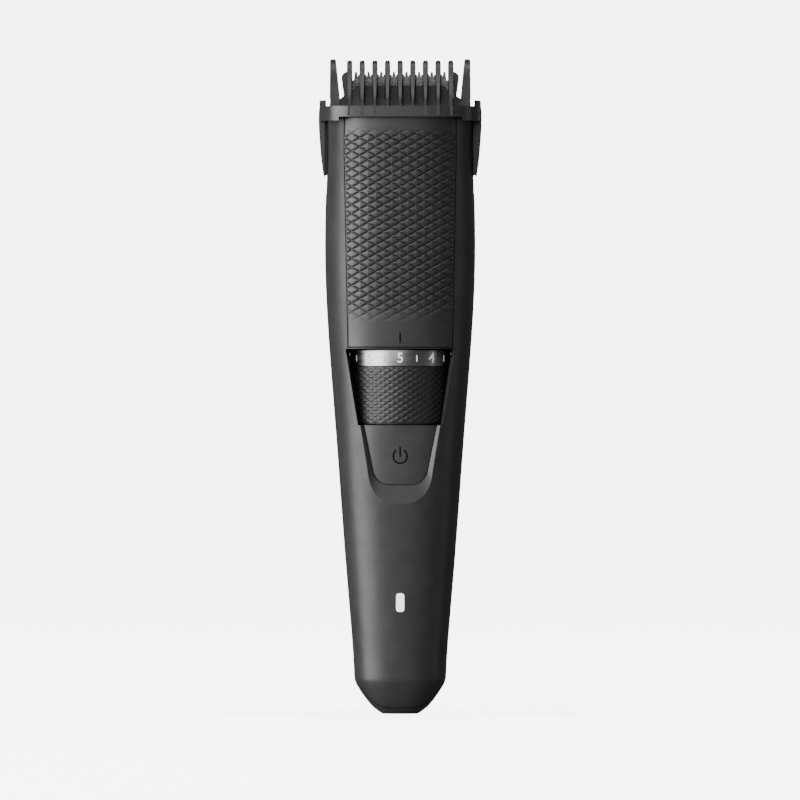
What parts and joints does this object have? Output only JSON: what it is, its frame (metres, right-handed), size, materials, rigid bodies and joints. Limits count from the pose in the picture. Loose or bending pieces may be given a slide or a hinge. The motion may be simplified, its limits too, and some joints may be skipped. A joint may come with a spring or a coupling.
{
  "type": "beard trimmer",
  "caption": "Cordless beard trimmer with a tapering handle, turning length wheel, power button, hinged cutting head and pull-off comb.",
  "frame": {"origin": "middle of the base that the trimmer stands on", "axes": "+Z along the handle from the base up to the comb, -Y is the front with wheel and button, +X is to the right seen from the front"},
  "size_m": [0.0438, 0.035, 0.1753],
  "materials": {
    "shell_plastic": "fine satin texture, black",
    "panel_plastic": "matt black with raised diamonds",
    "button_plastic": "satin dark grey",
    "wheel_plastic": "matt black, knurled",
    "silver_band": "brushed silver plating",
    "comb_plastic": "satin black",
    "head_plastic": "satin dark grey",
    "blade_steel": "ground stainless steel",
    "light_lens": "milky white, glowing",
    "chassis_plastic": "moulded dark grey",
    "bright_steel": "plated steel",
    "motor_steel": "zinc-plated steel",
    "magnet_iron": "sintered ferrite",
    "cam_plastic": "natural acetal",
    "soft_rubber": "matt black rubber",
    "cell_wrap": "green shrink sleeve",
    "board_laminate": "green solder mask",
    "component_black": "moulded epoxy",
    "capacitor_case": "drawn can",
    "led_body": "clear white",
    "brass_contact": "plated brass",
    "wire_red": "red insulation",
    "wire_black": "black insulation"
  },
  "bodies": {
    "handle": {"front_shell": "shell_plastic", "rear_shell": "shell_plastic", "bottom_cap": "shell_plastic", "front_panel": "panel_plastic", "light_guide": "light_lens", "chassis": "chassis_plastic", "motor_can": "motor_steel", "motor_magnets": "magnet_iron", "motor_end_cap": "chassis_plastic", "motor_terminals": "brass_contact", "motor_screws": "bright_steel", "motor_damper": "soft_rubber", "shaft_seal": "soft_rubber", "battery_cell": "cell_wrap", "battery_tab_positive": "bright_steel", "battery_tab_negative": "bright_steel", "circuit_board": "board_laminate", "board_screws": "bright_steel", "tact_switch": "component_black", "indicator_led": "led_body", "charge_controller": "component_black", "motor_driver": "component_black", "storage_capacitor": "capacitor_case", "charging_socket": "chassis_plastic", "charging_pins": "brass_contact", "motor_wire_black": "wire_black", "motor_wire_red": "wire_red", "detent_spring": "bright_steel"},
    "wheel": {"zoom_wheel": "wheel_plastic", "number_ring": "silver_band"},
    "carriage": {"comb_carriage": "comb_plastic"},
    "comb": {"comb": "comb_plastic"},
    "button": {"power_button": "button_plastic", "switch_plunger": "chassis_plastic"},
    "motor_spindle": {"motor_shaft": "bright_steel", "motor_rotor": "motor_steel", "eccentric_cam": "cam_plastic"},
    "head": {"head_frame": "head_plastic", "head_hinge_pins": "bright_steel", "head_cover": "head_plastic", "guard_blade": "blade_steel", "blade_screws": "bright_steel", "cutter_spring": "bright_steel"},
    "cutter": {"cutter_blade": "blade_steel", "cutter_bridge": "chassis_plastic"}
  },
  "joints": [
    {"name": "wheel_turn", "type": "hinge", "parent": "handle", "child": "wheel", "pos_m": [0, 0, 0.0875], "axis": [0, 0, 1], "range_deg": [-162.5, 180.5], "deforming": ["detent_spring"]},
    {"name": "carriage_slide", "type": "slide", "parent": "handle", "child": "carriage", "axis": [0, 0, 1], "range_m": [-0.0045, 0.005]},
    {"name": "comb_release", "type": "slide", "parent": "carriage", "child": "comb", "axis": [0, 0, 1], "range_m": [0, 0.045]},
    {"name": "button_press", "type": "slide", "parent": "handle", "child": "button", "axis": [0, 1, 0], "range_m": [0, 0.0005], "stiffness_N_per_m": 3000},
    {"name": "motor_spin", "type": "hinge", "parent": "handle", "child": "motor_spindle", "pos_m": [0, -0.0015, 0.13], "axis": [0, 0, 1], "continuous": true},
    {"name": "head_tilt", "type": "hinge", "parent": "handle", "child": "head", "pos_m": [0, 0.0064, 0.1616], "axis": [-1, 0, 0], "range_deg": [0, 60]},
    {"name": "cutter_slide", "type": "slide", "parent": "head", "child": "cutter", "axis": [1, 0, 0], "range_m": [-0.001, 0.001]}
  ],
  "couplings": [
    {"joint": "wheel_turn", "follows": "carriage_slide", "rad_per_m": 628.32}
  ]
}
